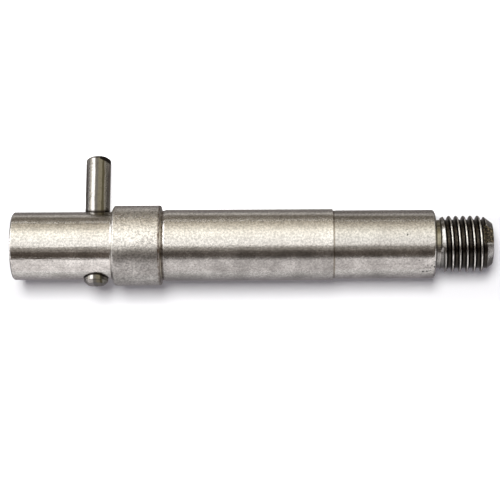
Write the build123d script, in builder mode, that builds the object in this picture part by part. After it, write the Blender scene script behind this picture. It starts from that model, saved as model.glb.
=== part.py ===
from build123d import *
from math import asin, atan2, ceil, degrees, hypot, radians, tan
import os

os.makedirs("parts", exist_ok=True)

# A turned steel drive shaft that lies on its side, and the tapered pin driven across its spigot.
# +X runs along the shaft's axis to its threaded end. The origin is on the axis, in the middle of the
# main journal. The pin's long end leans towards +Y and down, to where it touches the ground.

# lengths along the shaft, from the spigot's end face to the threaded end's face
spigot_length = 27.8
collar_length = 13.9
journal_length = 48.1
seat_length = 28.6
neck_length = 1.2
thread_length = 14.75

# diameters
spigot_diameter = 19.05
collar_diameter = 22.5
journal_diameter = 20.0
seat_diameter = 19.25
neck_diameter = 13.5

# edges and reliefs
spigot_chamfer = 0.4
collar_cone_length = 0.8
collar_cone_chamfer = 0.25
collar_edge_chamfer = 0.25
shoulder_relief_depth = 0.35
shoulder_relief_flat = 0.3
shoulder_relief_length = 1.3
step_relief_depth = 0.08
step_relief_length = 1.0
seat_chamfer_length = 1.0
seat_chamfer_depth = 1.1
neck_corner_chamfer = 0.3

# thread: right-handed, with 60 degrees between its flanks and flats at crest and root
thread_diameter = 15.8
thread_root_diameter = 13.6
thread_core_diameter = 13.0
thread_bury = 0.3
thread_pitch = 2.0
thread_crest_flat = 0.3
thread_flank_angle = 30
thread_steps = 24
thread_overlap = 0.05
thread_lead_length = 0.8
thread_end_chamfer_length = 2.8
thread_end_chamfer_depth = 2.1
thread_first_crest = 0.7
thread_margin = 1.0

# centre holes in both end faces
centre_cone_diameter = 5.0
centre_cone_half_angle = 30
centre_drill_diameter = 2.4
centre_drill_depth = 4.2
centre_drill_point = 0.6
centre_drill_web = 0.2

# drive pin and its cross hole
pin_from_spigot_end = 23.45
pin_long_reach = 25.95
pin_short_reach = 11.2
pin_parallel_reach = 9.65
pin_large_diameter = 7.0
pin_small_diameter = 6.75
pin_long_chamfer = 1.0
pin_short_chamfer = 0.8
pin_dome_height = 0.2
hole_mouth_chamfer = 0.3

# stations along X
shoulder_x = -journal_length / 2
collar_x = shoulder_x - collar_length
spigot_x = collar_x - spigot_length
step_x = shoulder_x + journal_length
seat_end_x = step_x + seat_length
seat_edge_x = seat_end_x - seat_chamfer_length
thread_x = seat_end_x + neck_length
thread_end_x = thread_x + thread_length
pin_x = spigot_x + pin_from_spigot_end

# radii
spigot_r = spigot_diameter / 2
collar_r = collar_diameter / 2
journal_r = journal_diameter / 2
seat_r = seat_diameter / 2
neck_r = neck_diameter / 2
crest_r = thread_diameter / 2
root_r = thread_root_diameter / 2

# At rest the collar's edge, the seat's edge and the pin's long end touch the ground. Under the pin
# the ground lies this far below the axis, on the line through the first two.
ground_slope = (collar_r - seat_r) / (seat_edge_x - shoulder_x)
ground_depth = collar_r + ground_slope * (shoulder_x - pin_x)
tip_reach = pin_long_reach - pin_long_chamfer
tip_r = pin_large_diameter / 2
pin_droop = degrees(asin(ground_depth / hypot(tip_reach, tip_r)) - atan2(tip_r, tip_reach))

# The pin's own plane: its X runs along the pin to the long end, its Y along the shaft.
pin_line = Vector(0, 1, 0).rotate(Axis.X, -pin_droop)
pin_plane = Plane(origin=(pin_x, 0, 0), x_dir=pin_line, z_dir=pin_line.cross(Vector(1, 0, 0)))
pin_axis = Axis((pin_x, 0, 0), pin_line)


def pin_radius(reach):
    """Pin radius at a signed distance from the shaft's axis: a tapered shank, then a parallel long end."""
    share = min(1, (reach + pin_short_reach) / (pin_parallel_reach + pin_short_reach))
    return (pin_small_diameter + (pin_large_diameter - pin_small_diameter) * share) / 2


def thread_plane(step):
    """The half plane through the shaft's axis that cuts one step of the thread: X along the shaft, Y outwards."""
    turn = 360 * step / thread_steps
    outwards = Vector(0, 1, 0).rotate(Axis.X, turn)
    return Plane(
        origin=(thread_x + thread_first_crest + thread_pitch * step / thread_steps, 0, 0),
        x_dir=(1, 0, 0),
        z_dir=Vector(1, 0, 0).cross(outwards),
    )


# One turn of thread, lofted through its profile at equal steps round the axis. Its root flats lap
# over those of the turns beside it, and its foot is buried in the thread's core.
crest_half = thread_crest_flat / 2
root_half = crest_half + (crest_r - root_r) * tan(radians(thread_flank_angle))
lap_half = thread_pitch / 2 + thread_overlap
foot_r = thread_core_diameter / 2 - thread_bury
with BuildPart() as thread_turn:
    for step in range(thread_steps + 1):
        with BuildSketch(thread_plane(step)) as thread_profile:
            with BuildLine():
                Polyline(
                    (-lap_half, foot_r),
                    (-lap_half, root_r),
                    (-root_half, root_r),
                    (-crest_half, crest_r),
                    (crest_half, crest_r),
                    (root_half, root_r),
                    (lap_half, root_r),
                    (lap_half, foot_r),
                    close=True,
                )
            make_face()
    loft(ruled=True)
turns_before = ceil((thread_first_crest + thread_margin) / thread_pitch) + 1
turns_after = ceil((thread_length + thread_margin - thread_first_crest) / thread_pitch)
turn_shifts = [(thread_pitch * count, 0, 0) for count in range(-turns_before, turns_after)]
core_plane = Plane(origin=(thread_x - thread_margin, 0, 0), z_dir=(1, 0, 0))

# shaft: one bar turned to its profile, then threaded, cross drilled and centre drilled
with BuildPart() as shaft:
    with BuildSketch(core_plane) as thread_core:
        Circle(thread_core_diameter / 2)
    extrude(amount=thread_length + 2 * thread_margin)
    with Locations(*turn_shifts):
        add(thread_turn.part)
    with BuildSketch(Plane.XY) as thread_blank:
        with BuildLine():
            Polyline(
                (thread_x, 0),
                (thread_x, neck_r),
                (thread_x + thread_lead_length, crest_r),
                (thread_end_x - thread_end_chamfer_length, crest_r),
                (thread_end_x, crest_r - thread_end_chamfer_depth),
                (thread_end_x, 0),
                close=True,
            )
        make_face()
    revolve(axis=Axis.X, mode=Mode.INTERSECT)

    with BuildSketch(Plane.XY) as turned_profile:
        with BuildLine():
            Polyline(
                (spigot_x, 0),
                (spigot_x, spigot_r - spigot_chamfer),
                (spigot_x + spigot_chamfer, spigot_r),
                (collar_x, spigot_r),
                (collar_x + collar_cone_length, collar_r),
                (shoulder_x - collar_edge_chamfer, collar_r),
                (shoulder_x, collar_r - collar_edge_chamfer),
                (shoulder_x, journal_r - shoulder_relief_depth),
                (shoulder_x + shoulder_relief_flat, journal_r - shoulder_relief_depth),
                (shoulder_x + shoulder_relief_length, journal_r),
                (step_x, journal_r),
                (step_x, seat_r - step_relief_depth),
                (step_x + step_relief_length, seat_r),
                (seat_edge_x, seat_r),
                (seat_end_x, seat_r - seat_chamfer_depth),
                (seat_end_x, neck_r),
                (thread_x, neck_r),
                (thread_x, 0),
                close=True,
            )
        make_face()
        cone_top = (collar_x + collar_cone_length, collar_r)
        neck_corner = (seat_end_x, neck_r)
        for corner, width in ((cone_top, collar_cone_chamfer), (neck_corner, neck_corner_chamfer)):
            chamfer(turned_profile.vertices().sort_by_distance(corner)[0], width)
    revolve(axis=Axis.X)

    # A centre hole in each end: a short drilled hole with a 60 degree cone at its mouth.
    cone_r = centre_cone_diameter / 2
    drill_r = centre_drill_diameter / 2
    cone_depth = (cone_r - drill_r) / tan(radians(centre_cone_half_angle))
    for face_x, inward in ((spigot_x, 1), (thread_end_x, -1)):
        drill_end_x = face_x + inward * centre_drill_depth
        point_x = drill_end_x + inward * centre_drill_point
        with BuildSketch(Plane.XY) as centre_hole:
            with BuildLine():
                Bezier((face_x, cone_r), (face_x + inward * cone_depth, drill_r))
                Line((face_x + inward * cone_depth, drill_r), (drill_end_x, drill_r))
                Bezier((drill_end_x, drill_r), (point_x, centre_drill_web / 2))
                Polyline((point_x, centre_drill_web / 2), (point_x, 0), (face_x, 0), (face_x, cone_r))
            make_face()
        revolve(axis=Axis.X, mode=Mode.SUBTRACT)

    # The cross hole has the pin's taper, and both its mouths are deburred.
    with BuildSketch(pin_plane) as cross_hole:
        with BuildLine():
            Polyline(
                (-pin_short_reach, 0),
                (-pin_short_reach, pin_radius(-pin_short_reach)),
                (pin_parallel_reach, pin_radius(pin_parallel_reach)),
                (pin_parallel_reach, 0),
                close=True,
            )
        make_face()
    revolve(axis=pin_axis, mode=Mode.SUBTRACT)
    hole_wall = shaft.faces().filter_by(GeomType.CONE).sort_by_distance((pin_x, 0, 0))[0]
    chamfer(hole_wall.edges().filter_by(GeomType.LINE, reverse=True), hole_mouth_chamfer)
shaft.part.label = "shaft"
export_step(shaft.part, "parts/shaft.step")

# drive pin: chamfered and slightly domed at its long end, chamfered at its short end
with BuildPart() as drive_pin:
    with BuildSketch(pin_plane) as pin_half:
        with BuildLine():
            rim_r = pin_radius(pin_long_reach) - pin_long_chamfer
            dome_rim = (pin_long_reach - pin_dome_height, rim_r)
            dome_top = (pin_long_reach, 0)
            taper_start = (pin_short_chamfer - pin_short_reach, pin_radius(pin_short_chamfer - pin_short_reach))
            taper_end = (pin_parallel_reach, pin_radius(pin_parallel_reach))
            short_rim = (-pin_short_reach, pin_radius(-pin_short_reach) - pin_short_chamfer)
            Polyline(dome_top, (-pin_short_reach, 0), short_rim)
            Bezier(short_rim, taper_start)
            Bezier(taper_start, taper_end)
            Line(taper_end, (tip_reach, pin_radius(tip_reach)))
            Bezier((tip_reach, pin_radius(tip_reach)), dome_rim)
            TangentArc(dome_top, dome_rim, tangent=(0, 1))
        make_face()
    revolve(axis=pin_axis)
drive_pin.part.label = "drive_pin"
export_step(drive_pin.part, "parts/drive_pin.step")
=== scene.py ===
import bmesh
import bpy
import math
import numpy as np
from mathutils import Matrix, Vector


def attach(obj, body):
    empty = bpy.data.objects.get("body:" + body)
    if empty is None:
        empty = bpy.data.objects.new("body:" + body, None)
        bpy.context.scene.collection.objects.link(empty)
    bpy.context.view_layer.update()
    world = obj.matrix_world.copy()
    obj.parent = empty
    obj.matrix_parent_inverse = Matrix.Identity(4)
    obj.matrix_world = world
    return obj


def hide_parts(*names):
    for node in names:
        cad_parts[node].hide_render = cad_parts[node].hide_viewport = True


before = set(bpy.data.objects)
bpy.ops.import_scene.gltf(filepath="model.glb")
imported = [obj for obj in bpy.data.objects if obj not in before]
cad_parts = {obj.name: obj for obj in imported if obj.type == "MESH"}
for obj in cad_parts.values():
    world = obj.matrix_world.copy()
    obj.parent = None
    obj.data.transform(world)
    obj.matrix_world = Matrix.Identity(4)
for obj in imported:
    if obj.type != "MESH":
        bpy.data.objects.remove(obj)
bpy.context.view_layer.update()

# ---------------------------------------------------------------------------------------------
# Shaft: one bar of plain steel, turned to its steps, its journals ground, its end threaded.
# The spigot is polished by use, the journals are satin, and the thread's grooves are dark with dried oil
# and with painted shade.
# ---------------------------------------------------------------------------------------------

# The pieces' sizes are in millimetres, and this turns them into metres.
MM = 0.001

# Stations along the bar, from the middle of the main journal. The seat is the second journal.
SPIGOT_X = -65.75
PIN_X = -42.3
COLLAR_X = -37.95
SHOULDER_X = -24.05
STEP_X = 24.05
SEAT_EDGE_X = 51.65
SEAT_END_X = 52.65
THREAD_X = 53.85
THREAD_END_X = 68.6

# Radii of the bar's plain lengths, and of the neck between the seat and the thread.
SPIGOT_R = 9.525
COLLAR_R = 11.25
JOURNAL_R = 10.0
SEAT_R = 9.625
NECK_R = 6.75

# Edges: the spigot's chamfer, the collar's cone and broken edges, the seat's rounded corner, and the
# broken corner between the seat and the neck.
SPIGOT_CHAMFER = 0.4
COLLAR_CONE_LENGTH = 0.68
COLLAR_EDGE_LENGTH = 1.05
EDGE_BREAK = 0.25
SEAT_CORNER_X = SEAT_EDGE_X + 0.4
SEAT_CORNER_DROP = 0.8
SEAT_FACE_LEAN = 0.06
NECK_CORNER = 0.3

# Reliefs: an undercut at the collar's shoulder, and a shallow one at the journal's step.
RELIEF_DEPTH = 0.35
RELIEF_FLAT = 0.3
RELIEF_LENGTH = 1.3
STEP_RELIEF_DEPTH = 0.08
STEP_RELIEF_LENGTH = 1.0

# Thread: right-handed. Its crest first crosses the +Y side at FIRST_CREST_X. The crest is flat for
# CREST_HALF to both sides, and each flank takes its own length along the bar to reach the root. The
# blank starts with two short cones, which meet at LEAD_R, and ends in a chamfer.
CREST_R = 7.9
ROOT_R = 6.8
PITCH = 2.0
FIRST_CREST_X = 54.55
CREST_HALF = 0.09
WORN_FLANK = 0.5
FREE_FLANK = 0.75
LEAD_R = 7.3
LEAD_STEP = 0.25
LEAD_LENGTH = 1.5
CHAMFER_LENGTH = 2.8
CHAMFER_DEPTH = 2.1

# The first turn is left uncut between these angles from +Y towards +Z, in radians. The groove
# fades in over the last UNCUT_FADE of them.
UNCUT_START = 0.1
UNCUT_END = math.radians(104)
UNCUT_FADE = 0.35

# The chipped patch on the end chamfer: its two angles from +Y towards +Z in degrees, the station
# where it starts, how far it is sunk, and how much further its rough floor goes.
CHIP_FROM = 36
CHIP_TO = 84
CHIP_X = 66.0
CHIP_DEPTH = 0.15
CHIP_ROUGHNESS = 0.4

# Centre holes in both end faces: a cone, a drilled length and its point.
CENTRE_CONE_R = 2.5
CENTRE_CONE_DEPTH = 2.25
CENTRE_DRILL_R = 1.2
CENTRE_DEPTH = 4.2
CENTRE_POINT = 0.6

# Cross hole: how far the pin droops from +Y, and the deburred edge of the hole's mouths.
PIN_DROOP = math.radians(19.536)
HOLE_R = 3.5
HOLE_BREAK = 0.3

# Grid: points round the bar, and the window that is left open round each mouth of the cross hole,
# as half its length, its rows along the bar, and its steps to each side round the bar.
AROUND = 240
WINDOW_HALF = 4.3
WINDOW_ROWS = 24
WINDOW_STEPS = 20


def ease(value, low, high):
    """0 at low, 1 at high and a smooth step between them; high may lie below low."""
    share = np.clip((value - low) / (high - low), 0, 1)
    return share * share * (3 - 2 * share)


def turned_path(corners):
    """Half profile of a turned piece, as X and radius. Each row of corners is X, radius, the length
    of the blend there, and how many steps divide the straight run that follows. A blend is the
    quadratic curve whose ends lie that far from the corner along both runs, and a run beside a
    blend gets one more point near each of its ends, which keeps the run's shading flat."""
    blend_points = 4
    guard_length = 0.15
    table = np.array(corners, float)
    at = table[:, :2]
    blend = table[:, 2]
    steps = table[:, 3].astype(int)
    run = np.diff(at, axis=0)
    unit = run / np.maximum(np.linalg.norm(run, axis=1), 1e-9)[:, None]
    parts = []
    for i in range(len(at)):
        before = at[i] - unit[i - 1] * blend[i] if i else at[i]
        after = at[i] + unit[i] * blend[i] if i < len(run) else at[i]
        if blend[i] > 0:
            share = np.linspace(0, 1, blend_points)[:, None]
            bend = (1 - share) ** 2 * before + 2 * share * (1 - share) * at[i] + share**2 * after
            parts.append(bend)
        else:
            parts.append(at[i : i + 1])
        if i < len(run):
            ahead = at[i + 1] - unit[i] * blend[i + 1]
            share = np.linspace(0, 1, steps[i] + 1)[1:-1, None]
            if blend[i] > 0 or blend[i + 1] > 0:
                length = np.linalg.norm(ahead - after)
                guard = min(guard_length, length / 4) / length
                share = np.unique(np.concatenate([share.ravel(), [guard, 1 - guard]]))[:, None]
            parts.append(after + (ahead - after) * share)
    return np.concatenate(parts).T


def thread_form(x, turn):
    """Radius of the thread at X and at an angle from +Y towards +Z. The distance along X from the
    nearest crest, which moves by one pitch a turn, gives a smooth fall from crest to root over the
    flank's length. The nut has worn the flank that faces the journals steeper than the other, and
    before the first crest the groove is cut in full only past the uncut angles."""
    crest_x = FIRST_CREST_X + PITCH * turn / (2 * np.pi)
    past = (x - crest_x + PITCH / 2) % PITCH - PITCH / 2
    flank = np.where(past < 0, WORN_FLANK, FREE_FLANK)
    drop = np.clip((np.abs(past) - CREST_HALF) / flank, 0, 1)
    uncut = ease(turn, UNCUT_END, UNCUT_END - UNCUT_FADE) * ease(turn, -PIN_DROOP, UNCUT_START)
    cut = 1 - (x < crest_x) * uncut
    return CREST_R - (CREST_R - ROOT_R) * drop * drop * (3 - 2 * drop) * cut


def value_noise(points, cell, seed):
    """Smooth noise from 0 to 1: each corner of a cubic lattice gets the fraction of a large sine of
    its place, and a smooth blend of the eight corners round a point gives the point's value."""
    place = np.asarray(points, float) / cell
    low = np.floor(place).astype(int)
    share = place - low
    share = share * share * (3 - 2 * share)
    total = np.zeros(place.shape[:-1])
    for corner in np.ndindex(2, 2, 2):
        c = low + np.array(corner)
        wave = np.sin(c[..., 0] * 127.1 + c[..., 1] * 311.7 + c[..., 2] * 74.7 + seed * 53.3) * 43758.5453
        weight = np.prod(np.where(np.array(corner) == 1, share, 1 - share), axis=-1)
        total += weight * (wave - np.floor(wave))
    return total


def on_rings(x, radius, turn):
    """Points at X and at a radius from the bar's axis, at an angle from +Y towards +Z."""
    return np.stack([x, radius * np.cos(turn), radius * np.sin(turn)], axis=-1)


def ring_quads(index):
    """Quads between neighbouring rows of point numbers, where each row closes on itself."""
    beside = np.roll(index, -1, axis=1)
    return np.stack([index[:-1], beside[:-1], beside[1:], index[1:]], axis=-1)


def end_fan(centre, ring):
    """Triangles between one point and each edge of a closed ring of point numbers."""
    return np.stack([np.full(len(ring), centre), ring, np.roll(ring, -1)], axis=-1)


def build_mesh(name, points, faces):
    """Mesh from points in millimetres and arrays of quads and triangles. Points that no face uses
    are dropped, and the faces of the closed surface are turned outwards."""
    used = np.unique(np.concatenate([part.ravel() for part in faces]))
    number = np.full(len(points), -1)
    number[used] = np.arange(len(used))
    polygons = sum([number[part].tolist() for part in faces], [])
    mesh = bpy.data.meshes.new(name)
    mesh.from_pydata((points[used] * MM).tolist(), [], polygons)
    work = bmesh.new()
    work.from_mesh(mesh)
    bmesh.ops.recalc_face_normals(work, faces=work.faces)
    work.to_mesh(mesh)
    work.free()
    mesh.shade_smooth()
    piece = bpy.data.objects.new(name, mesh)
    bpy.context.scene.collection.objects.link(piece)
    return piece


# The bar's half profile, from the point of one centre hole to the point of the other.
shaft_corners = [
    (SPIGOT_X + CENTRE_DEPTH + CENTRE_POINT, 0, 0, 2),
    (SPIGOT_X + CENTRE_DEPTH, CENTRE_DRILL_R, 0, 3),
    (SPIGOT_X + CENTRE_CONE_DEPTH, CENTRE_DRILL_R, 0.05, 4),
    (SPIGOT_X, CENTRE_CONE_R, 0.08, 8),
    (SPIGOT_X, SPIGOT_R - SPIGOT_CHAMFER, 0.08, 1),
    (SPIGOT_X + SPIGOT_CHAMFER, SPIGOT_R, 0.08, 5),
    (PIN_X - WINDOW_HALF, SPIGOT_R, 0, WINDOW_ROWS),
    (PIN_X + WINDOW_HALF, SPIGOT_R, 0, 1),
    (COLLAR_X, SPIGOT_R, 0.02, 3),
    (COLLAR_X + COLLAR_CONE_LENGTH, COLLAR_R - EDGE_BREAK, 0.06, 1),
    (COLLAR_X + COLLAR_EDGE_LENGTH, COLLAR_R, 0.06, 4),
    (SHOULDER_X - EDGE_BREAK, COLLAR_R, 0.08, 1),
    (SHOULDER_X, COLLAR_R - EDGE_BREAK, 0.06, 2),
    (SHOULDER_X, JOURNAL_R - RELIEF_DEPTH, 0.08, 1),
    (SHOULDER_X + RELIEF_FLAT, JOURNAL_R - RELIEF_DEPTH, 0.08, 2),
    (SHOULDER_X + RELIEF_LENGTH, JOURNAL_R, 0.2, 10),
    (STEP_X, JOURNAL_R, 0.06, 2),
    (STEP_X, SEAT_R - STEP_RELIEF_DEPTH, 0.04, 2),
    (STEP_X + STEP_RELIEF_LENGTH, SEAT_R, 0.2, 6),
    (SEAT_CORNER_X, SEAT_R, 0.3, 3),
    (SEAT_END_X - SEAT_FACE_LEAN, SEAT_R - SEAT_CORNER_DROP, 0.3, 4),
    (SEAT_END_X, NECK_R + NECK_CORNER, 0.08, 1),
    (SEAT_END_X + NECK_CORNER, NECK_R, 0.08, 5),
    (THREAD_X, NECK_R, 0, 4),
    (THREAD_X + LEAD_STEP, LEAD_R, 0, 14),
    (THREAD_X + LEAD_LENGTH, CREST_R, 0, 104),
    (THREAD_END_X - CHAMFER_LENGTH, CREST_R, 0, 36),
    (THREAD_END_X, CREST_R - CHAMFER_DEPTH, 0.2, 6),
    (THREAD_END_X, CENTRE_CONE_R, 0.08, 4),
    (THREAD_END_X - CENTRE_CONE_DEPTH, CENTRE_DRILL_R, 0.05, 3),
    (THREAD_END_X - CENTRE_DEPTH, CENTRE_DRILL_R, 0, 2),
    (THREAD_END_X - CENTRE_DEPTH - CENTRE_POINT, 0, 0, 1),
]
path_x, path_r = turned_path(shaft_corners)
row_x = path_x[1:-1]
row_r = path_r[1:-1]
rows = len(row_x)

# The profile is turned round the axis, from the pin's long side, and the thread is cut into its blank.
turns = -PIN_DROOP + np.arange(AROUND) * 2 * np.pi / AROUND
grid_x = np.repeat(row_x[:, None], AROUND, axis=1)
grid_r = np.repeat(row_r[:, None], AROUND, axis=1)
outside = grid_r > CENTRE_CONE_R
threaded = (grid_x > THREAD_X) & (grid_r > CREST_R - CHAMFER_DEPTH)
grid_r = np.where(threaded, np.minimum(grid_r, thread_form(grid_x, turns)), grid_r)

# The chipped patch is sunk into the chamfer, with a rough floor.
chip_start = math.radians(CHIP_FROM)
chip_end = math.radians(CHIP_TO)
chipped = ease(grid_x, CHIP_X, CHIP_X + 0.5) * ease(grid_x, THREAD_END_X - 0.05, THREAD_END_X - 0.4)
chipped = chipped * ease(turns, chip_start, chip_start + 0.2) * ease(turns, chip_end, chip_end - 0.1)
chip_floor = value_noise(on_rings(grid_x, grid_r, turns), cell=0.45, seed=3)
grid_r = grid_r - outside * chipped * (CHIP_DEPTH + CHIP_ROUGHNESS * chip_floor)

# Two windows are left open in the grid, one round each mouth of the cross hole. Their rims are
# closed rings of grid points, as rows along the bar and steps round it from the pin's long side.
first_row = int(np.argmax(np.isclose(row_x, PIN_X - WINDOW_HALF) & np.isclose(row_r, SPIGOT_R)))
last_row = first_row + WINDOW_ROWS
half_turn = AROUND // 2
quads = ring_quads(np.arange(rows * AROUND).reshape(rows, AROUND))
closed = np.ones(quads.shape[:2], bool)
closed[first_row:last_row, :WINDOW_STEPS] = False
closed[first_row:last_row, -WINDOW_STEPS:] = False
closed[first_row:last_row, half_turn - WINDOW_STEPS : half_turn + WINDOW_STEPS] = False
faces = [quads[closed]]

rim_rows = np.arange(WINDOW_ROWS)
rim_steps = np.arange(-WINDOW_STEPS, WINDOW_STEPS)
one_side = np.ones(WINDOW_ROWS, int)
one_end = np.ones(2 * WINDOW_STEPS, int)
rim_row = np.concatenate(
    [last_row * one_end, last_row - rim_rows, first_row * one_end, first_row + rim_rows]
)
rim_step = np.concatenate(
    [rim_steps, WINDOW_STEPS * one_side, -rim_steps, -WINDOW_STEPS * one_side]
)
rim_u = row_x[rim_row] - PIN_X
rim_v = SPIGOT_R * np.sin(rim_step * 2 * np.pi / AROUND)
rim_angle = np.arctan2(rim_v, rim_u)
rim_reach = np.hypot(rim_u, rim_v)

# The hole's own directions: along its axis to the pin's long end, and square to it and to the bar.
hole_centre = np.array([PIN_X, 0, 0])
along = np.array([0, math.cos(PIN_DROOP), -math.sin(PIN_DROOP)])
across = np.array([0, math.sin(PIN_DROOP), math.cos(PIN_DROOP)])


def hole_ring(reach, depth, way):
    """Points round the cross hole at a distance from its axis, on the spigot's surface lowered by a
    depth. Their height along the axis is the root of the spigot's radius squared less the distance
    across squared, less the depth. The way is 1 on the pin's long side and -1 on its short side."""
    u = reach * np.cos(rim_angle)
    v = reach * np.sin(rim_angle)
    w = way * (np.sqrt(SPIGOT_R**2 - v**2) - depth)
    return hole_centre + u[:, None] * [1, 0, 0] + v[:, None] * across + w[:, None] * along


# Rings close each window: first by shares of the way from its rim to the mouth, then over the
# deburred edge and into the hole, each by its distance from the hole's axis and its depth.
mouth = HOLE_R + HOLE_BREAK
rim_shares = (0.3, 0.6, 0.85, 0.97)
edge_rings = [
    (mouth, 0),
    (mouth - 0.04, 0.012),
    (HOLE_R + 0.05, 0.26),
    (HOLE_R + 0.015, HOLE_BREAK + 0.05),
    (HOLE_R + 0.01, 1.5),
]
end_points = np.array([[path_x[0], 0, 0], [path_x[-1], 0, 0]])
points = [on_rings(grid_x, grid_r, turns).reshape(-1, 3), end_points]
next_point = rows * AROUND + len(end_points)
wall_rings = []
for way, columns in ((1, rim_step % AROUND), (-1, (half_turn - rim_step) % AROUND)):
    rings = [hole_ring(rim_reach + (mouth - rim_reach) * share, 0, way) for share in rim_shares]
    rings += [hole_ring(reach, depth, way) for reach, depth in edge_rings]
    ring_points = np.concatenate(rings)
    ring_index = next_point + np.arange(len(ring_points)).reshape(len(rings), -1)
    index = np.concatenate([(rim_row * AROUND + columns)[None], ring_index])
    points.append(ring_points)
    faces.append(ring_quads(index).reshape(-1, 4))
    wall_rings.append(index[-1])
    next_point += len(ring_points)

# The hole's wall joins the innermost rings, and the two centre holes end in points.
faces.append(ring_quads(np.array(wall_rings)).reshape(-1, 4))
faces.append(end_fan(rows * AROUND, np.arange(AROUND)))
faces.append(end_fan(rows * AROUND + 1, (rows - 1) * AROUND + np.arange(AROUND)))
shaft = build_mesh("turned_shaft", np.concatenate(points), faces)


class Wire:
    """One output of a material's node. Arithmetic on it adds Math nodes to the same material."""

    def __init__(self, finish, socket):
        self.finish = finish
        self.socket = socket

    def output(self, name):
        """Another output of the same node."""
        return Wire(self.finish, self.socket.node.outputs[name])

    def math(self, operation, *others):
        """A Math node's result for this value and the others, in that order."""
        return self.finish.math(operation, self, *others)

    def __add__(self, other):
        return self.finish.math("ADD", self, other)

    def __radd__(self, other):
        return self.finish.math("ADD", other, self)

    def __sub__(self, other):
        return self.finish.math("SUBTRACT", self, other)

    def __rsub__(self, other):
        return self.finish.math("SUBTRACT", other, self)

    def __mul__(self, other):
        return self.finish.math("MULTIPLY", self, other)

    def __rmul__(self, other):
        return self.finish.math("MULTIPLY", other, self)

    def step(self, low, high):
        """0 below low, 1 above high and smooth between them; falls instead if low is above high."""
        rising = float(low < high)
        limits = {"From Min": min(low, high), "From Max": max(low, high)}
        levels = {"To Min": 1.0 - rising, "To Max": rising}
        smooth = {"interpolation_type": "SMOOTHSTEP"}
        return self.finish.node("MapRange", smooth, {"Value": self, **limits, **levels}, "Result")


class Finish:
    """One material's nodes, and the place on the piece that they read."""

    def __init__(self, name):
        self.material = bpy.data.materials.new(name)
        self.material.use_nodes = True
        self.tree = self.material.node_tree
        self.shader = self.tree.nodes["Principled BSDF"]
        self.place = self.node("TexCoord", {}, {}, "Object")

    def node(self, kind, settings, sockets, out):
        """A new node's output, from its type, its settings, and its sockets' values or links."""
        made = self.tree.nodes.new("ShaderNode" + kind)
        for setting, value in settings.items():
            if setting == "stops":
                self.set_stops(made.color_ramp.elements, value)
            else:
                setattr(made, setting, value)
        for socket, value in sockets.items():
            self.put(made.inputs[socket], value)
        return Wire(self, made.outputs[out])

    def set_stops(self, elements, stops):
        """Gives a ramp its stops, each a place from 0 to 1 and a colour."""
        while len(elements) < len(stops):
            elements.new(0.5)
        for element, (place, colour) in zip(elements, stops):
            element.position = place
            element.color = (*colour, 1)

    def put(self, socket, value):
        """Links a wire to a socket, or sets the socket to a number, a vector or a colour."""
        if isinstance(value, Wire):
            self.tree.links.new(value.socket, socket)
        elif socket.type == "RGBA":
            socket.default_value = (*value, 1)
        else:
            socket.default_value = value

    def set(self, sockets):
        """Sets or links the shader's own sockets."""
        for socket, value in sockets.items():
            self.put(self.shader.inputs[socket], value)

    def math(self, operation, *values):
        """A Math node's result."""
        return self.node("Math", {"operation": operation}, dict(enumerate(values)), "Value")

    def mix(self, share, first, second):
        """The colour at that share of the way from first to second. A Mix node's sockets for colours
        are told apart only by number: 0 is the share, 6 and 7 are the colours, and 2 is the result."""
        return self.node("Mix", {"data_type": "RGBA"}, {0: share, 6: first, 7: second}, 2)

    def noise(self, place, scale, detail=2.0, rough=0.5):
        """Noise from 0 to 1, with so many cells to the metre."""
        sockets = {"Vector": place, "Scale": scale, "Detail": detail, "Roughness": rough}
        return self.node("TexNoise", {}, sockets, "Fac")

    def stretched(self, scale):
        """The place on the piece, scaled along each axis."""
        return self.node("Mapping", {}, {"Vector": self.place, "Scale": scale}, "Vector")

    def in_mm(self, axes):
        """The place on the piece along the given axes, in millimetres."""
        split = self.node("SeparateXYZ", {}, {"Vector": self.place}, axes[0])
        return [split.output(axis) * (1 / MM) for axis in axes]

    def bump(self, strength, height):
        """The normal of a surface that stands 0.04 mm higher for each unit of height."""
        sockets = {"Strength": strength, "Distance": 0.04 * MM, "Height": height}
        return self.node("Bump", {}, sockets, "Normal")


# Colours of the bar's steel and of what has settled on it.
BLACK = (0.0, 0.0, 0.0)
CLOUDY_STEEL = (0.80, 0.775, 0.745)
CLEAN_STEEL = (0.90, 0.88, 0.85)
GROOVE_SHADE_BLACK = (0.003, 0.0025, 0.002)
ROOT_GREY = (0.06, 0.054, 0.048)
FLECK_TAN = (0.27, 0.22, 0.145)
RELIEF_BROWN = (0.36, 0.30, 0.19)
STEP_BROWN = (0.15, 0.115, 0.07)
RUST_BROWN = (0.10, 0.058, 0.028)
OIL_OLIVE = (0.14, 0.12, 0.055)

# Where a point lies: in millimetres, from the axis, and round it in degrees from +Y towards +Z.
steel = Finish("turned_steel")
bar_x, bar_y, bar_z = steel.in_mm("XYZ")
radius = (bar_y * bar_y + bar_z * bar_z).math("SQRT")
angle = bar_z.math("ARCTAN2", bar_y) * math.degrees(1)
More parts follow.
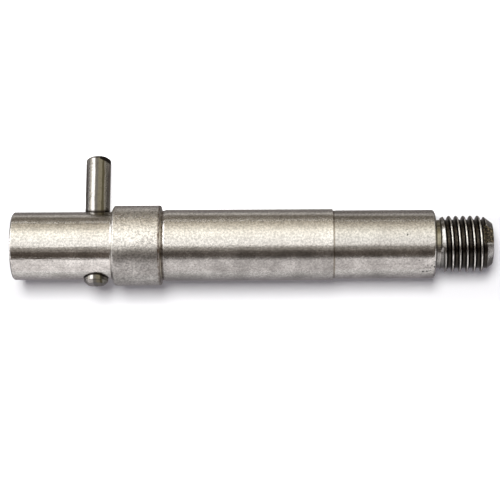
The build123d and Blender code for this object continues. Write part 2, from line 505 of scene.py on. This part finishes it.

# Masks of the bar's parts; the end part is the thread's end chamfer and end face. On the side away
# from the pin's long end, the collar, the main journal and the neck are darkened as painted shade,
# and made a little rougher.
spigot_part = bar_x.step(COLLAR_X + 0.3, COLLAR_X)
collar_part = bar_x.step(COLLAR_X, COLLAR_X + 0.3) * bar_x.step(SHOULDER_X + 0.05, SHOULDER_X)
seat_part = bar_x.step(STEP_X - 0.1, STEP_X + 0.1) * bar_x.step(SEAT_END_X + 0.1, SEAT_END_X)
neck_part = bar_x.step(SEAT_EDGE_X + 0.2, SEAT_EDGE_X + 0.7)
neck_part = neck_part * bar_x.step(THREAD_X + 0.1, THREAD_X - 0.15)
end_part = bar_x.step(THREAD_END_X - 2.2, THREAD_END_X - 1.7)
pin_side = bar_y.step(-2.0, 1.0)
away_side = bar_y.step(1.0, -2.0)
far_side_shade = away_side * (1.0 - spigot_part) * (1.0 - seat_part) * bar_x.step(THREAD_X, THREAD_X - 0.5)

# Noises: grain for the bump, fine grain for the tone, specks, wide clouds, and scratches that are
# drawn out along the bar.
grain = steel.noise(steel.place, 1500.0, detail=3.0, rough=0.7)
fine = steel.noise(steel.place, 1600.0, detail=3.0, rough=0.75).step(0.34, 0.66)
specks = steel.noise(steel.place, 2100.0, rough=0.6).step(0.52, 0.7)
cloud = steel.noise(steel.place, 150.0, detail=4.0, rough=0.6).step(0.32, 0.68)
scratches = steel.noise(steel.stretched((90.0, 2200.0, 2200.0)), 1.0)

# Pits: few and small, with more of them on the seat's end, on the side away from the pin, and round the
# shoulder.
pit_cells = {"Vector": steel.place, "Scale": 900.0, "Randomness": 1.0}
cells = steel.node("TexVoronoi", {}, pit_cells, "Distance")
cell_tone = steel.node("SeparateColor", {}, {"Color": cells.output("Color")}, "Red")
seat_pits = bar_x.step(SEAT_EDGE_X - 5.65, SEAT_EDGE_X - 1.65)
seat_pits = seat_pits * bar_x.step(SEAT_EDGE_X + 0.6, SEAT_EDGE_X + 0.3) * bar_y.step(-2.5, -4.5)
shoulder_pits = bar_x.step(SHOULDER_X - 2.5, SHOULDER_X - 0.8)
shoulder_pits = shoulder_pits * bar_x.step(SHOULDER_X + 2.5, SHOULDER_X + 1.5)
pitted = seat_pits.math("MAXIMUM", shoulder_pits * 0.8)
pit_form = (cells - 0.13 * pitted + 0.25 * (fine - 0.5)).step(0.17, 0.1)
pits = pit_form * (cell_tone + 0.3 * pitted).step(0.99, 1.0) * (1.0 - 0.5 * spigot_part)

# The thread's grooves are wherever the surface lies under its blank, past the first crest, up to the
# end part. The chip's mask covers the patch that is sunk in the mesh.
chamfer_drop = (bar_x - (THREAD_END_X - CHAMFER_LENGTH)) * (CHAMFER_DEPTH / CHAMFER_LENGTH)
blank_r = (CREST_R - chamfer_drop).math("MINIMUM", CREST_R)
past_first = (bar_x - angle * (PITCH / 360)).step(FIRST_CREST_X + 0.05, FIRST_CREST_X + 0.3)
groove = (blank_r - radius).step(0.01, 0.12) * past_first * bar_x.step(THREAD_X - 0.1, THREAD_X + 0.1)
groove = groove * (1.0 - bar_x.step(THREAD_END_X - 1.9, THREAD_END_X - 1.5))
chip = angle.step(CHIP_FROM, CHIP_FROM + 6) * angle.step(CHIP_TO, CHIP_TO - 4)
chip = chip * bar_x.step(CHIP_X - 0.3, CHIP_X + 0.1) * bar_x.step(THREAD_END_X, THREAD_END_X - 0.15)

# Painted shade and dirt: black between the crests, greyer at the root, with tan flecks of dirt that are
# packed in the chip.
root_line = radius.step(ROOT_R + 0.12, ROOT_R + 0.01)
flecks = steel.noise(steel.place, 2600.0, detail=3.0, rough=0.6).step(0.5, 0.64)
flecks = flecks * (0.35 + 0.65 * bar_y.step(-3.0, 2.0))
groove_shade_and_dirt = steel.mix(root_line * 0.5, GROOVE_SHADE_BLACK, ROOT_GREY)
groove_shade_and_dirt = steel.mix(flecks * (0.3 + 0.7 * chip), groove_shade_and_dirt, FLECK_TAN)

# Rust on the collar's edge at the shoulder, a brown tint in the undercut beside it, a brown line
# on the seat's side of the journal's step, and old oil on the neck.
rust_noise = steel.noise(steel.place, 900.0, detail=3.0)
rust = bar_x.step(SHOULDER_X - 0.65, SHOULDER_X - 0.4) * bar_x.step(SHOULDER_X + 0.12, SHOULDER_X)
rust = rust * (0.55 + 0.45 * rust_noise.step(0.42, 0.58)) * (0.6 + 0.4 * bar_y.step(-8.0, -2.0))
relief = bar_x.step(SHOULDER_X - 0.02, SHOULDER_X + 0.04) * bar_x.step(SHOULDER_X + 0.5, SHOULDER_X + 0.3)
step_line = bar_x.step(STEP_X - 0.1, STEP_X) * bar_x.step(STEP_X + 0.55, STEP_X + 0.35)
neck_oil = neck_part * bar_y.step(-1.5, 1.0) * (0.7 + 0.3 * cloud)

# Tone: the share of the steel's brightness that is left. The painted shade on the side away from the
# pin and each part's own finish come first, then grain, clouds, specks, pits and scratches, then the
# end part, the land before the first crest, and the side of the neck and the lead-in away from the pin.
land = (1.0 - past_first) * bar_x.step(THREAD_X - 0.05, THREAD_X + 0.15)
lead_in = bar_x.step(SEAT_END_X, SEAT_END_X + 0.2)
lead_in = lead_in * bar_x.step(THREAD_X + LEAD_LENGTH, THREAD_X + LEAD_LENGTH - 0.5)
# The first factor is painted shade on the side of the bar away from the pin.
tone = (1.0 - far_side_shade * (0.26 + 0.08 * collar_part)) * (1.0 - 0.17 * seat_part) * (1.0 + 0.05 * collar_part)
tone = tone * (1.0 + (0.32 + 0.34 * collar_part + 0.1 * pin_side) * (fine - 0.5))
tone = tone * (1.0 + 0.36 * away_side * (cloud - 0.5))
tone = tone * (1.0 - (0.06 + 0.14 * away_side) * specks) * (1.0 - 0.85 * pits)
tone = tone * (1.0 + (0.16 + 0.3 * spigot_part) * (0.5 - scratches)) * (1.0 - 0.6 * end_part)
tone = tone * (1.0 - 0.45 * land) * (1.0 - 0.45 * away_side * lead_in)

# A Mix node's share stops at 1, so the steel is written lighter by the amount that its tone is cut.
TONE_CUT = 0.785
steel_colour = steel.mix(tone * TONE_CUT, BLACK, steel.mix(cloud, CLOUDY_STEEL, CLEAN_STEEL))
steel_colour = steel.mix(relief * 0.4, steel_colour, RELIEF_BROWN)
steel_colour = steel.mix(step_line * (0.45 + 0.3 * rust_noise), steel_colour, STEP_BROWN)
steel_colour = steel.mix(rust * 0.85, steel_colour, RUST_BROWN)
steel_colour = steel.mix(neck_oil, steel_colour, OIL_OLIVE)
# The thread's grooves and the chip take the painted shade and dirt.
steel_colour = steel.mix(groove.math("MAXIMUM", chip), steel_colour, groove_shade_and_dirt)

steel_rough = 0.165 - 0.05 * spigot_part + 0.1 * collar_part + 0.05 * far_side_shade
steel_rough = steel_rough + 0.06 * groove + 0.2 * chip + 0.03 * cloud
steel_height = grain * (0.8 + 0.8 * collar_part) + (0.15 + 0.5 * spigot_part) * scratches - 1.5 * pits
steel.set({"Base Color": steel_colour, "Metallic": 1.0, "Roughness": steel_rough})
steel.set({"Normal": steel.bump(0.9, steel_height)})
shaft.data.materials.append(steel.material)
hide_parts("shaft")
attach(shaft, "root")

# ---------------------------------------------------------------------------------------------
# Drive pin: a hardened steel taper pin, driven through the spigot and left long on one side. It has
# browned, and its colour also holds painted reflection and shade. Its long end is chamfered, slightly
# domed and chipped on one side by the hammer.
# ---------------------------------------------------------------------------------------------

# Reaches along the pin from the bar's axis, and radii. It widens from its short end up to
# PARALLEL_REACH and is parallel beyond. The crown is the middle of its domed long end.
LONG_REACH = 25.95
SHORT_REACH = 11.2
PARALLEL_REACH = 9.65
LARGE_R = 3.5
SMALL_R = 3.375
LONG_CHAMFER = 1.0
SHORT_CHAMFER = 0.8
DOME_HEIGHT = 0.22
DOME_INSET = 0.95
CROWN_HEIGHT = 0.1
CROWN_R = 1.6
PIN_AROUND = 144

short_edge_r = SMALL_R + (LARGE_R - SMALL_R) * SHORT_CHAMFER / (PARALLEL_REACH + SHORT_REACH)
pin_corners = [
    (-SHORT_REACH, 0, 0, 6),
    (-SHORT_REACH, SMALL_R - SHORT_CHAMFER, 0.15, 2),
    (SHORT_CHAMFER - SHORT_REACH, short_edge_r, 0.15, 20),
    (PARALLEL_REACH, LARGE_R, 0, 24),
    (LONG_REACH - LONG_CHAMFER, LARGE_R, 0.25, 2),
    (LONG_REACH - DOME_HEIGHT, LARGE_R - DOME_INSET, 0.3, 3),
    (LONG_REACH - CROWN_HEIGHT, CROWN_R, 0.5, 3),
    (LONG_REACH, 0, 0, 1),
]
pin_reach, pin_r = turned_path(pin_corners)
pin_turns = np.arange(PIN_AROUND) * 2 * np.pi / PIN_AROUND
sideways = pin_r[1:-1, None] * np.cos(pin_turns)
upright = pin_r[1:-1, None] * np.sin(pin_turns)
outwards = np.repeat(pin_reach[1:-1, None], PIN_AROUND, axis=1)
pin_grid = hole_centre + outwards[..., None] * along
pin_grid = pin_grid + sideways[..., None] * [1, 0, 0] + upright[..., None] * across
pin_ends = hole_centre + pin_reach[[0, -1], None] * along

pin_rows = len(pin_grid)
pin_index = np.arange(pin_rows * PIN_AROUND).reshape(pin_rows, PIN_AROUND)
pin_faces = [
    ring_quads(pin_index).reshape(-1, 4),
    end_fan(pin_rows * PIN_AROUND, pin_index[0]),
    end_fan(pin_rows * PIN_AROUND + 1, pin_index[-1]),
]
pin = build_mesh("taper_pin", np.concatenate([pin_grid.reshape(-1, 3), pin_ends]), pin_faces)

pin_finish = Finish("pin_steel")
pin_x, pin_y, pin_z = pin_finish.in_mm("XYZ")
side_of_pin = pin_x - PIN_X
along_pin = pin_y * math.cos(PIN_DROOP) - pin_z * math.sin(PIN_DROOP)
top_of_pin = pin_y * math.sin(PIN_DROOP) + pin_z * math.cos(PIN_DROOP)
streaks = pin_finish.noise(pin_finish.stretched((1500.0, 260.0, 260.0)), 1.0, detail=3.0)
mottle = pin_finish.noise(pin_finish.place, 1500.0, detail=3.0)
pin_grain = pin_finish.noise(pin_finish.place, 2300.0, detail=3.0)

# Wavy bands run along the pin: grey steel towards the spigot's end face, then brown, a dark band,
# and grey again towards the collar. They are partly browning and partly painted reflection: lighter
# under the tall window's highlight and darker beside it, and the first, darker grey is painted shade
# on the side towards the spigot's end face. Each row says where a band fades in across the pin, from
# the pin's middle, and its colour.
SHADED_SIDE_GREY = (0.28, 0.27, 0.26)
BROWNING_AND_REFLECTION_BANDS = [
    (-2.3, -1.9, (0.42, 0.405, 0.39)),
    (-0.8, -0.35, (0.12, 0.112, 0.10)),
    (0.1, 0.5, (0.155, 0.14, 0.105)),
    (1.2, 1.45, (0.065, 0.057, 0.035)),
    (1.85, 2.1, (0.18, 0.172, 0.155)),
    (2.6, 3.1, (0.3, 0.28, 0.25)),
]
MOTTLE_BROWN = (0.06, 0.052, 0.04)
wander = side_of_pin + 0.7 * (streaks - 0.5)
pin_colour = SHADED_SIDE_GREY
for fade_from, fade_to, colour in BROWNING_AND_REFLECTION_BANDS:
    pin_colour = pin_finish.mix(wander.step(fade_from, fade_to), pin_colour, colour)
pin_colour = pin_finish.mix(mottle.step(0.5, 0.75) * 0.5, pin_colour, MOTTLE_BROWN)

# The pin is darkened where it enters the hole, as painted shade, and a dark patch marks the nick at
# its long end. The nick starts NICK_LENGTH from the tip at NICK_SIDE off the pin's middle, and its
# edge leans by NICK_LEAN.
MOUTH_SHADE_AND_NICK_DARK = (0.015, 0.011, 0.009)
NICK_LENGTH = 1.45
NICK_SIDE = 0.76
NICK_LEAN = 0.4
mouth_level = (SPIGOT_R**2 - top_of_pin * top_of_pin).math("MAXIMUM", 0.0).math("SQRT")
mouth_shade = (along_pin - mouth_level).step(0.9, 0.1) * (along_pin + mouth_level).step(-0.45, -0.1)
nick_line = along_pin - LONG_REACH + NICK_LENGTH + (side_of_pin - NICK_SIDE) * NICK_LEAN
nick = (nick_line + 0.3 * (mottle - 0.5)).step(0.0, 0.15)
nick = nick * side_of_pin.step(0.55, 0.75) * top_of_pin.step(-1.5, -0.8)
# Painted shade at the hole's mouths, and the dark of the nick.
pin_colour = pin_finish.mix(mouth_shade.math("MAXIMUM", nick) * 0.96, pin_colour, MOUTH_SHADE_AND_NICK_DARK)
pin_finish.set({"Base Color": pin_colour, "Metallic": 1.0, "Roughness": 0.17 + 0.4 * nick + 0.1 * streaks})
pin_finish.set({"Normal": pin_finish.bump(0.25, pin_grain + streaks)})
pin.data.materials.append(pin_finish.material)
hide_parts("drive_pin")
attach(pin, "root")

# ---------------------------------------------------------------------------------------------
# Sheet: white paper on a flat table. It just touches the collar's edge, the seat's edge and the
# pin's long end. It glows wherever a camera or a reflection sees it, by amounts painted by place.
# ---------------------------------------------------------------------------------------------

SHEET_HALF = 600.0
PAPER_WHITE = (0.9, 0.9, 0.9)
GLOW_BESIDE = 0.03
GLOW_NEAR = 0.27
GLOW_PIN_SIDE = 0.5
GLOW_FAR = 0.7


def laid_sheet(name, half_length, half_width, lift):
    """A rectangle that lies on the ground or is lifted off it. The ground's depth under the bar's
    axis goes in a straight line from the collar's radius at the shoulder to the seat's radius at
    the seat's edge."""
    slope = (COLLAR_R - SEAT_R) / (SEAT_EDGE_X - SHOULDER_X)
    x = np.array([-half_length, -half_length, half_length, half_length])
    y = np.array([-half_width, half_width, -half_width, half_width])
    z = lift - (COLLAR_R + slope * (SHOULDER_X - x))
    mesh = bpy.data.meshes.new(name)
    mesh.from_pydata((np.stack([x, y, z], axis=-1) * MM).tolist(), [], [(0, 2, 3, 1)])
    laid = bpy.data.objects.new(name, mesh)
    bpy.context.scene.collection.objects.link(laid)
    return laid


sheet = laid_sheet("sheet", SHEET_HALF, SHEET_HALF, 0.0)
paper = Finish("white_paper")
paper_x, paper_y = paper.in_mm("XY")
rays = paper.node("LightPath", {}, {}, "Is Camera Ray")
seen = rays + rays.output("Is Glossy Ray") + rays.output("Is Transmission Ray")

# The glow is painted light: weakest beside the bar, where its shadow lies, which keeps that shadow
# deep, stronger on the pin's side, which washes out the pin's shadow, and far off it brings the sheet
# up to white.
beside = paper_y.step(-26.0, -14.0) * paper_y.step(10.0, 6.0)
beside = beside * paper_x.step(-120.0, -68.0) * paper_x.step(100.0, 72.0)
far_off = (paper_x * paper_x + paper_y * paper_y).math("SQRT").step(120.0, 320.0)
near_glow = GLOW_NEAR + GLOW_PIN_SIDE * paper_y.step(4.0, 10.0)
glow = GLOW_BESIDE * beside + (1.0 - beside) * near_glow + GLOW_FAR * far_off
paper.set({"Base Color": PAPER_WHITE, "Roughness": 0.9, "Specular IOR Level": 0.0})
paper.set({"Emission Color": (1.0, 1.0, 1.0), "Emission Strength": seen.math("MINIMUM", 1.0) * glow})
sheet.data.materials.append(paper.material)

# ---------------------------------------------------------------------------------------------
# Grey card: a glowing card just above the sheet, which only reflections see, and whose tones are
# painted reflection. It gives the steel's lower flanks their dark edges: dark near the bar, with a
# pale strip on the pin's side, paler far off.
# ---------------------------------------------------------------------------------------------

CARD_HALF_LENGTH = 150.0
CARD_HALF_WIDTH = 400.0
CARD_LIFT = 0.8

# Tones by the distance in millimetres from under the bar's axis towards the pin's long end.
CARD_TONES = [
    (-400, (0.86, 0.84, 0.83)),
    (-150, (0.84, 0.82, 0.81)),
    (-66, (0.70, 0.68, 0.67)),
    (-37, (0.50, 0.48, 0.48)),
    (-23, (0.34, 0.32, 0.33)),
    (-12, (0.24, 0.22, 0.23)),
    (12, (0.29, 0.27, 0.26)),
    (16, (0.23, 0.21, 0.20)),
    (22.5, (0.23, 0.21, 0.20)),
    (26, (0.66, 0.63, 0.60)),
    (31, (0.60, 0.57, 0.53)),
    (36, (0.22, 0.195, 0.165)),
    (60, (0.205, 0.18, 0.15)),
    (110, (0.31, 0.28, 0.235)),
    (400, (0.42, 0.38, 0.30)),
]

card = laid_sheet("grey_card", CARD_HALF_LENGTH, CARD_HALF_WIDTH, CARD_LIFT)
reflection_card = Finish("grey_card")
across_card = reflection_card.in_mm("Y")[0] * (0.5 / CARD_HALF_WIDTH) + 0.5
card_stops = [(y * 0.5 / CARD_HALF_WIDTH + 0.5, colour) for y, colour in CARD_TONES]
card_colour = reflection_card.node("ValToRGB", {"stops": card_stops}, {"Fac": across_card}, "Color")
reflection_card.set({"Base Color": BLACK, "Specular IOR Level": 0.0})
reflection_card.set({"Emission Color": card_colour, "Emission Strength": 1.0})
card.data.materials.append(reflection_card.material)
card.visible_camera = False
card.visible_diffuse = False
card.visible_shadow = False
card.visible_transmission = False

# ---------------------------------------------------------------------------------------------
# Room: a workshop with windows, which the steel mirrors as bands along the bar. A camera sees plain
# white instead, and the matt paper gets a weak even light.
# ---------------------------------------------------------------------------------------------

# Bands by their tilt in degrees from straight up towards +Y. Their colours are divided by the
# brightest, as a ramp's are kept under 1, and the background's strength puts that back.
BRIGHTEST = 1.5
ROOM_BANDS = [
    (-90, (0.84, 0.795, 0.79)),
    (-70, (0.95, 0.905, 0.895)),
    (-50, (1.02, 0.975, 0.965)),
    (-41.5, (1.03, 0.985, 0.97)),
    (-39.5, (0.11, 0.09, 0.075)),
    (-18, (0.11, 0.09, 0.075)),
    (-14, (0.2, 0.175, 0.155)),
    (-11, (0.48, 0.44, 0.40)),
    (-8, (0.37, 0.34, 0.305)),
    (-2.5, (0.24, 0.215, 0.19)),
    (1, (1.3, 1.26, 1.2)),
    (12, (1.28, 1.25, 1.2)),
    (30, (1.4, 1.37, 1.28)),
    (48, (1.48, 1.43, 1.30)),
    (55, (1.32, 1.26, 1.11)),
    (63, (0.97, 0.91, 0.79)),
    (76, (0.80, 0.73, 0.61)),
    (84, (0.48, 0.43, 0.35)),
    (90, (0.37, 0.33, 0.265)),
    (96, (0.36, 0.32, 0.26)),
]
TALL_WINDOW = (2.1, 2.1, 2.1)
EVEN_LIGHT = (0.133, 0.124, 0.143)
PLAIN_WHITE = (1 / BRIGHTEST, 1 / BRIGHTEST, 1 / BRIGHTEST)

world = bpy.data.worlds.new("room")
bpy.context.scene.world = world
world.use_nodes = True


class Room(Finish):
    """The world's nodes, and the direction that they are seen in."""

    def __init__(self, room):
        self.tree = room.node_tree
        self.shader = self.tree.nodes["Background"]
        self.place = self.node("TexCoord", {}, {}, "Generated")


room = Room(world)
way_x = room.node("SeparateXYZ", {}, {"Vector": room.place}, "X")
way_y = way_x.output("Y")
way_z = way_x.output("Z")
tilt = way_y.math("ARCTAN2", way_z) * math.degrees(1)

# Overhead the bands lean a little: their edges shift with the direction's share along the bar.
BAND_SHIFT = 2.2
BAND_LEAN = 8
tilt = tilt - (BAND_LEAN * way_x + BAND_SHIFT) * tilt.step(-30, -5) * tilt.step(38, 18)
band_stops = [
    ((degrees + 180) / 360, tuple(part / BRIGHTEST for part in colour)) for degrees, colour in ROOM_BANDS
]
band_place = (tilt + 180) * (1 / 360)
mirrored = room.node("ValToRGB", {"stops": band_stops}, {"Fac": band_place}, "Color")

# A tall window stands past the spigot's end, on the pin's side.
window = way_x.step(-0.84, -0.76) * way_x.step(-0.36, -0.42)
window = window * way_y.step(0.1, 0.25) * way_z.step(0.02, 0.15)
mirrored = room.mix(window, mirrored, TALL_WINDOW)

# Mirrors see the bands, a camera sees white, and all else gets the even light.
room_rays = room.node("LightPath", {}, {}, "Is Camera Ray")
unmirrored = room.mix(room_rays, EVEN_LIGHT, PLAIN_WHITE)
room_colour = room.mix(room_rays.output("Is Glossy Ray"), unmirrored, mirrored)
room.set({"Color": room_colour, "Strength": BRIGHTEST})

# ---------------------------------------------------------------------------------------------
# Lamp: one large soft box that hangs overhead, on the pin's side. It lights the sheet and casts
# the bar's shadow, and the steel doesn't mirror it, because the room's bands hold the windows.
# ---------------------------------------------------------------------------------------------

# Its place and its size in metres, and its power in watts.
LAMP_PLACE = (-0.1, 0.37, 1.13)
LAMP_LENGTH = 0.3
LAMP_WIDTH = 0.4
LAMP_WATTS = 13.8

lamp_x, lamp_y, lamp_z = LAMP_PLACE
lamp_data = bpy.data.lights.new("soft_lamp", "AREA")
lamp_data.shape = "RECTANGLE"
lamp_data.size = LAMP_LENGTH
lamp_data.size_y = LAMP_WIDTH
lamp_data.energy = LAMP_WATTS
lamp = bpy.data.objects.new("soft_lamp", lamp_data)
lamp.location = LAMP_PLACE
lamp.rotation_euler = (-math.atan2(lamp_y, lamp_z), math.atan2(lamp_x, math.hypot(lamp_y, lamp_z)), 0)
lamp.visible_glossy = False
bpy.context.scene.collection.objects.link(lamp)

# ---------------------------------------------------------------------------------------------
# Camera: it looks down on the bar from nearly straight above, with a long lens, and is turned by
# a small roll about its own line of sight.
# ---------------------------------------------------------------------------------------------

# Its eye and the point that it looks at in metres, and its lens and sensor in millimetres.
CAMERA_EYE = Vector((0.0103, 0.0436, 0.478))
CAMERA_TARGET = Vector((0.00081, -0.00143, 0.0))
CAMERA_ROLL = math.radians(0.394)
CAMERA_LENS = 122.9
CAMERA_SENSOR = 36.0

camera_back = (CAMERA_EYE - CAMERA_TARGET).normalized()
rough_up = Vector((math.sin(CAMERA_ROLL), math.cos(CAMERA_ROLL), 0))
camera_right = rough_up.cross(camera_back).normalized()
camera_up = camera_back.cross(camera_right)
camera_turn = Matrix((camera_right, camera_up, camera_back)).transposed().to_4x4()
camera_data = bpy.data.cameras.new("camera")
camera_data.lens = CAMERA_LENS
camera_data.sensor_width = CAMERA_SENSOR
camera = bpy.data.objects.new("camera", camera_data)
camera.matrix_world = Matrix.Translation(CAMERA_EYE) @ camera_turn
bpy.context.scene.collection.objects.link(camera)
bpy.context.scene.camera = camera
bpy.context.scene.view_settings.view_transform = "Standard"
